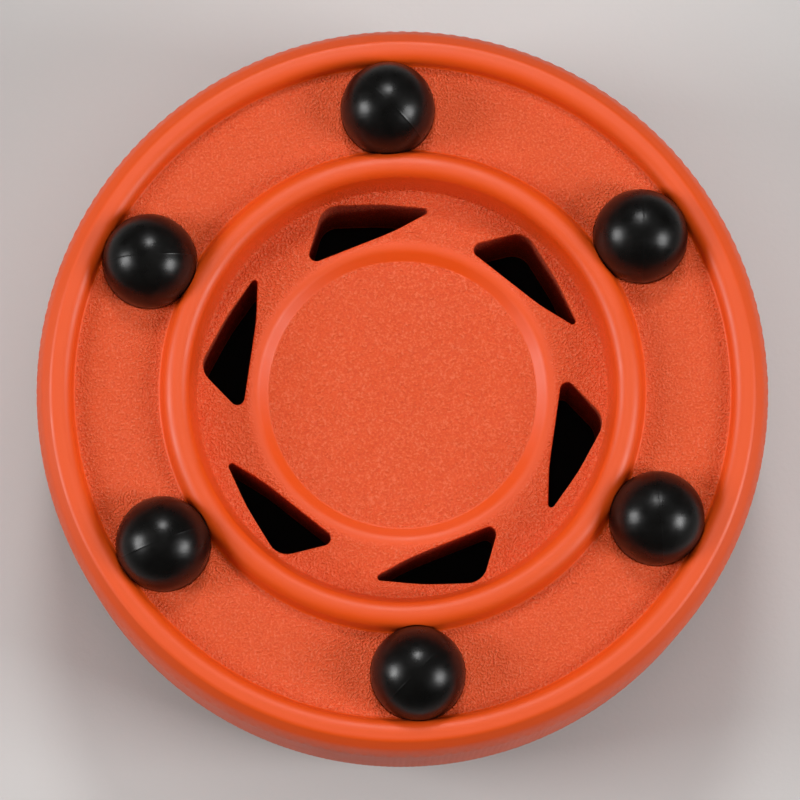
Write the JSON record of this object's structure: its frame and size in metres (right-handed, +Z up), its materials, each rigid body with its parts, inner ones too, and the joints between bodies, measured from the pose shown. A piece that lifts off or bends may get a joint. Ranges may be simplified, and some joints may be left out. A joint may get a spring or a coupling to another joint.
{
  "type": "street hockey puck",
  "caption": "Flexible round hockey puck with a knurled rim, swirled air vents and loose domed runners that slide on the ground.",
  "frame": {"origin": "on the ground below the puck's centre, where the lower runner heads stand", "axes": "+Z up along the puck's axis; +Y passes through runner_2"},
  "size_m": [0.0762, 0.0762, 0.0338],
  "materials": {
    "body_plastic": "orange flexible plastic, satin on the lip and ridge, fine leathery grain on the channel, deck and centre disc",
    "runner_plastic": "smooth black slippery plastic with light scuffs"
  },
  "bodies": {
    "body": {"puck_body": "body_plastic"},
    "runner_1": {"runner_1": "runner_plastic"},
    "runner_2": {"runner_2": "runner_plastic"},
    "runner_3": {"runner_3": "runner_plastic"},
    "runner_4": {"runner_4": "runner_plastic"},
    "runner_5": {"runner_5": "runner_plastic"},
    "runner_6": {"runner_6": "runner_plastic"}
  },
  "joints": [
    {"name": "runner_1_spin", "type": "hinge", "parent": "body", "child": "runner_1", "pos_m": [0.02555, 0.01475, 0.0169], "axis": [0, 0, 1], "continuous": true},
    {"name": "runner_2_spin", "type": "hinge", "parent": "body", "child": "runner_2", "pos_m": [0, 0.0295, 0.0169], "axis": [0, 0, 1], "continuous": true},
    {"name": "runner_3_spin", "type": "hinge", "parent": "body", "child": "runner_3", "pos_m": [-0.02555, 0.01475, 0.0169], "axis": [0, 0, 1], "continuous": true},
    {"name": "runner_4_spin", "type": "hinge", "parent": "body", "child": "runner_4", "pos_m": [-0.02555, -0.01475, 0.0169], "axis": [0, 0, 1], "continuous": true},
    {"name": "runner_5_spin", "type": "hinge", "parent": "body", "child": "runner_5", "pos_m": [0, -0.0295, 0.0169], "axis": [0, 0, 1], "continuous": true},
    {"name": "runner_6_spin", "type": "hinge", "parent": "body", "child": "runner_6", "pos_m": [0.02555, -0.01475, 0.0169], "axis": [0, 0, 1], "continuous": true}
  ]
}
